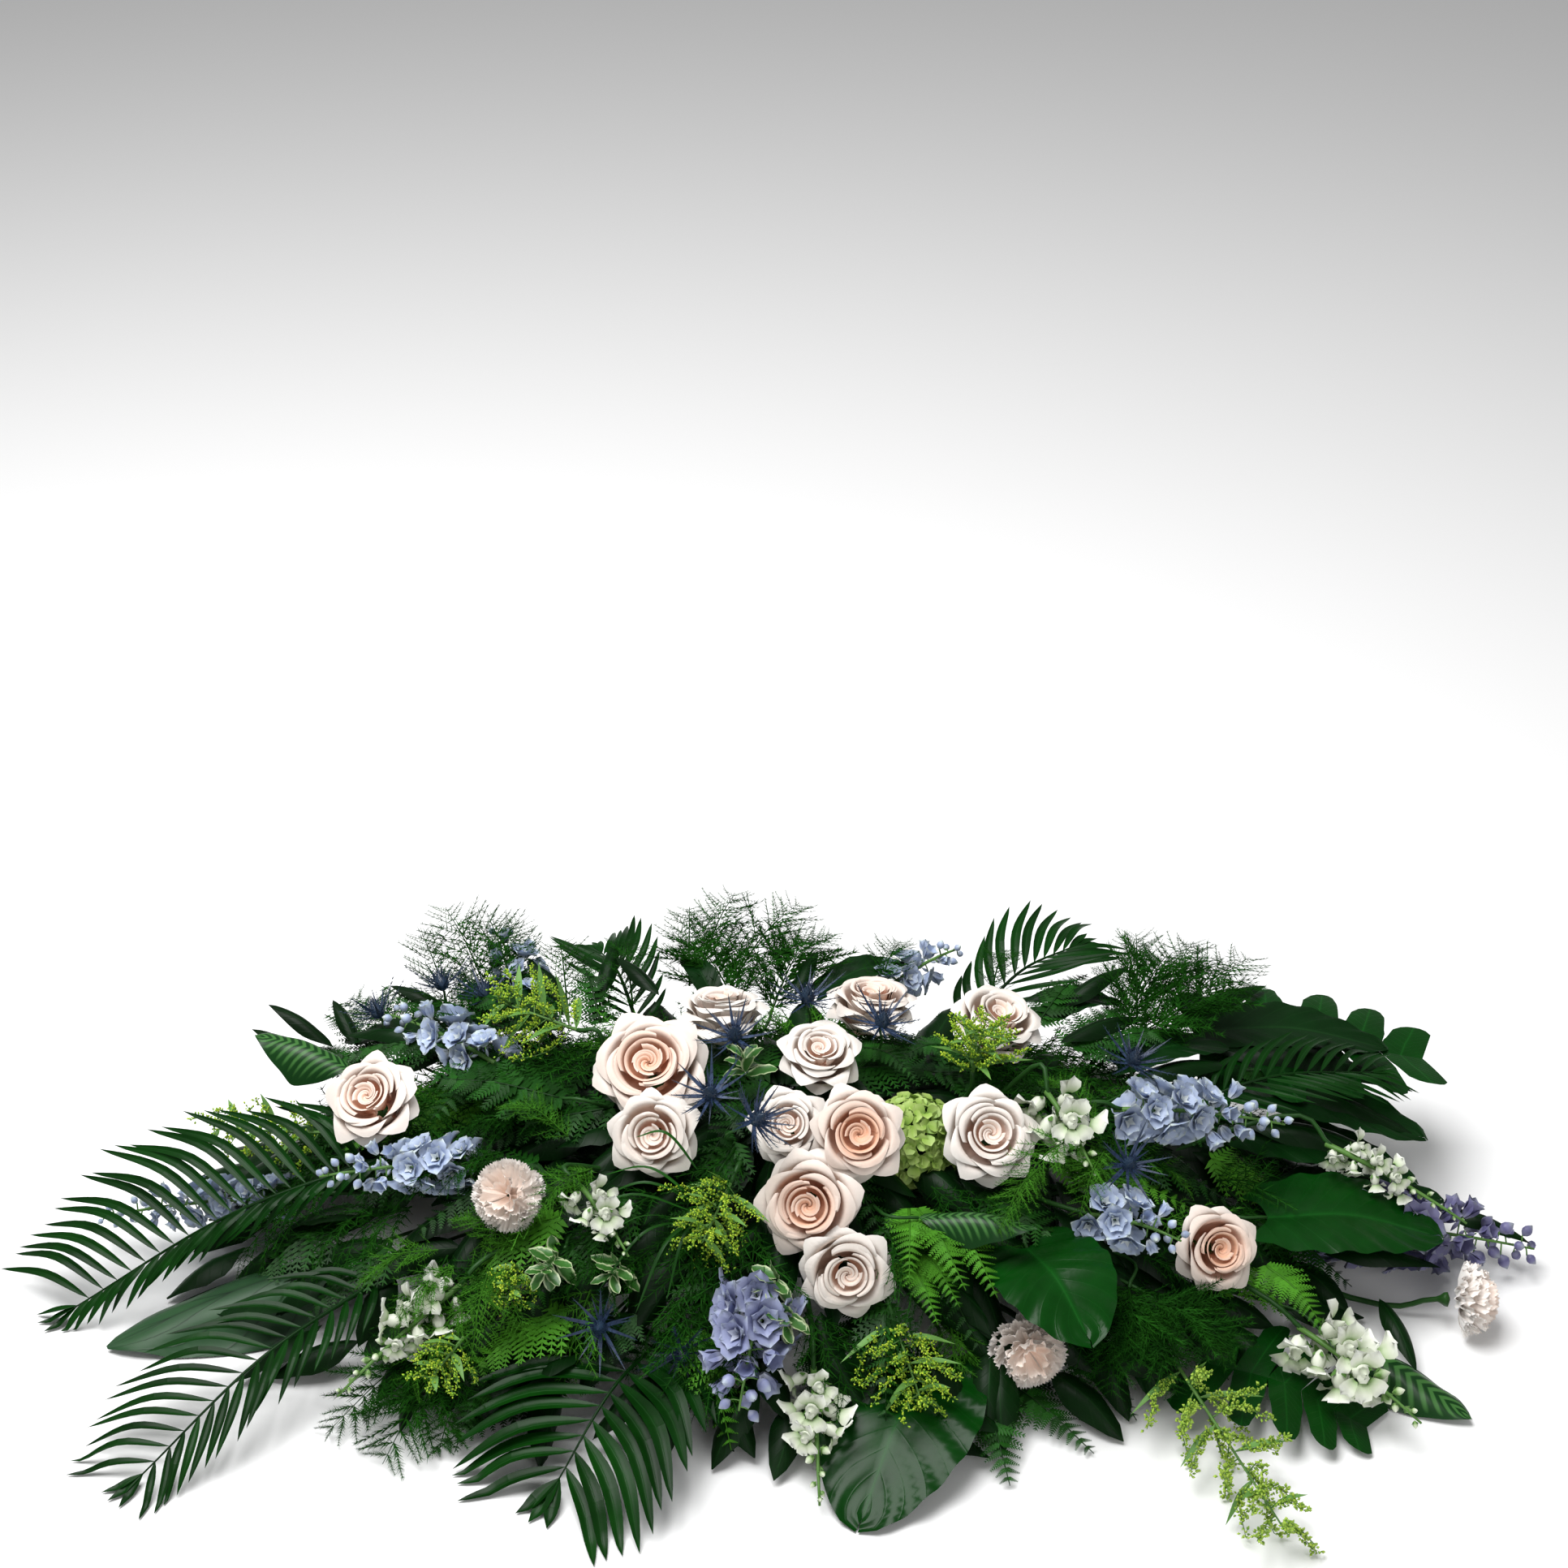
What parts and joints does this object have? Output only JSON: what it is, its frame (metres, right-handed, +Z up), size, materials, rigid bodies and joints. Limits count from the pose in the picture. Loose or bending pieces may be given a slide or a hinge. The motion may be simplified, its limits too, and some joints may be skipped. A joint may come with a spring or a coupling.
{
  "type": "casket spray",
  "caption": "Long low flower arrangement of roses, spikes, palm fronds and broad leaves, standing in foam on a flat saddle tray.",
  "frame": {"origin": "centre of the tray's flat underside, on the surface that the spray stands on", "axes": "+X along the spray, to the right in the picture; -Y towards its front; +Z up"},
  "size_m": [1.332, 0.6343, 0.2479],
  "materials": {
    "tray_plastic": "dark green moulded plastic",
    "foam": "matt green floral foam",
    "rose_petal": "soft cream to blush petal",
    "carnation_petal": "soft blush petal",
    "hydrangea_petal": "soft lime petal",
    "stem_green": "satin green stem",
    "delphinium_petal": "soft blue-lavender petal",
    "snapdragon_petal": "soft white-green petal",
    "goldenrod_floret": "matt yellow-green floret",
    "thistle_bract": "satin steel-blue bract",
    "palm_leaf": "glossy dark green leaf",
    "monstera_leaf": "glossy dark green leaf",
    "broad_leaf": "satin grey-green leaf",
    "fern_leaf": "satin green leaf",
    "asparagus_leaf": "matt feathery green leaf",
    "pittosporum_leaf": "satin green leaf"
  },
  "bodies": {
    "root": {"asparagus_back_left": "asparagus_leaf", "asparagus_back_right": "asparagus_leaf", "asparagus_low_left": "asparagus_leaf", "asparagus_low_right": "asparagus_leaf", "broad_leaf_left": "broad_leaf", "carnation_front": "carnation_petal", "carnation_left": "carnation_petal", "carnation_right": "carnation_petal", "delphinium_back_right": "delphinium_petal", "delphinium_far_right": "delphinium_petal", "delphinium_front": "delphinium_petal", "delphiniums_back_left": "delphinium_petal", "delphiniums_left": "delphinium_petal", "delphiniums_right": "delphinium_petal", "fern_left": "fern_leaf", "fern_low_left": "fern_leaf", "ferns_right": "fern_leaf", "foam": "foam", "goldenrod_front": "goldenrod_floret", "goldenrod_middle": "goldenrod_floret", "goldenrod_right": "goldenrod_floret", "goldenrod_trailing": "goldenrod_floret", "goldenrods_left": "goldenrod_floret", "hydrangea": "hydrangea_petal", "monstera_bottom": "monstera_leaf", "monstera_front": "monstera_leaf", "monstera_low_right": "monstera_leaf", "monsteras_right": "monstera_leaf", "palm_front": "palm_leaf", "palm_right": "palm_leaf", "palms_back": "palm_leaf", "palms_left": "palm_leaf", "pittosporum": "pittosporum_leaf", "rose_back_far_right": "rose_petal", "rose_back_left": "rose_petal", "rose_back_right": "rose_petal", "rose_far_right": "rose_petal", "rose_left": "rose_petal", "rose_middle": "rose_petal", "rose_right": "rose_petal", "roses_front": "rose_petal", "roses_mid_left": "rose_petal", "snapdragon_front": "snapdragon_petal", "snapdragon_right": "snapdragon_petal", "snapdragons_far_right": "snapdragon_petal", "snapdragons_left": "snapdragon_petal", "stems_far_right": "stem_green", "stems_front": "stem_green", "stems_left": "stem_green", "stems_mid_left": "stem_green", "stems_middle": "stem_green", "stems_right": "stem_green", "striped_leaf_back": "broad_leaf", "striped_leaf_middle": "broad_leaf", "striped_leaf_right": "broad_leaf", "thistles_front": "thistle_bract", "thistles_left": "thistle_bract", "thistles_middle": "thistle_bract", "thistles_right": "thistle_bract", "tray": "tray_plastic"}
  },
  "joints": []
}
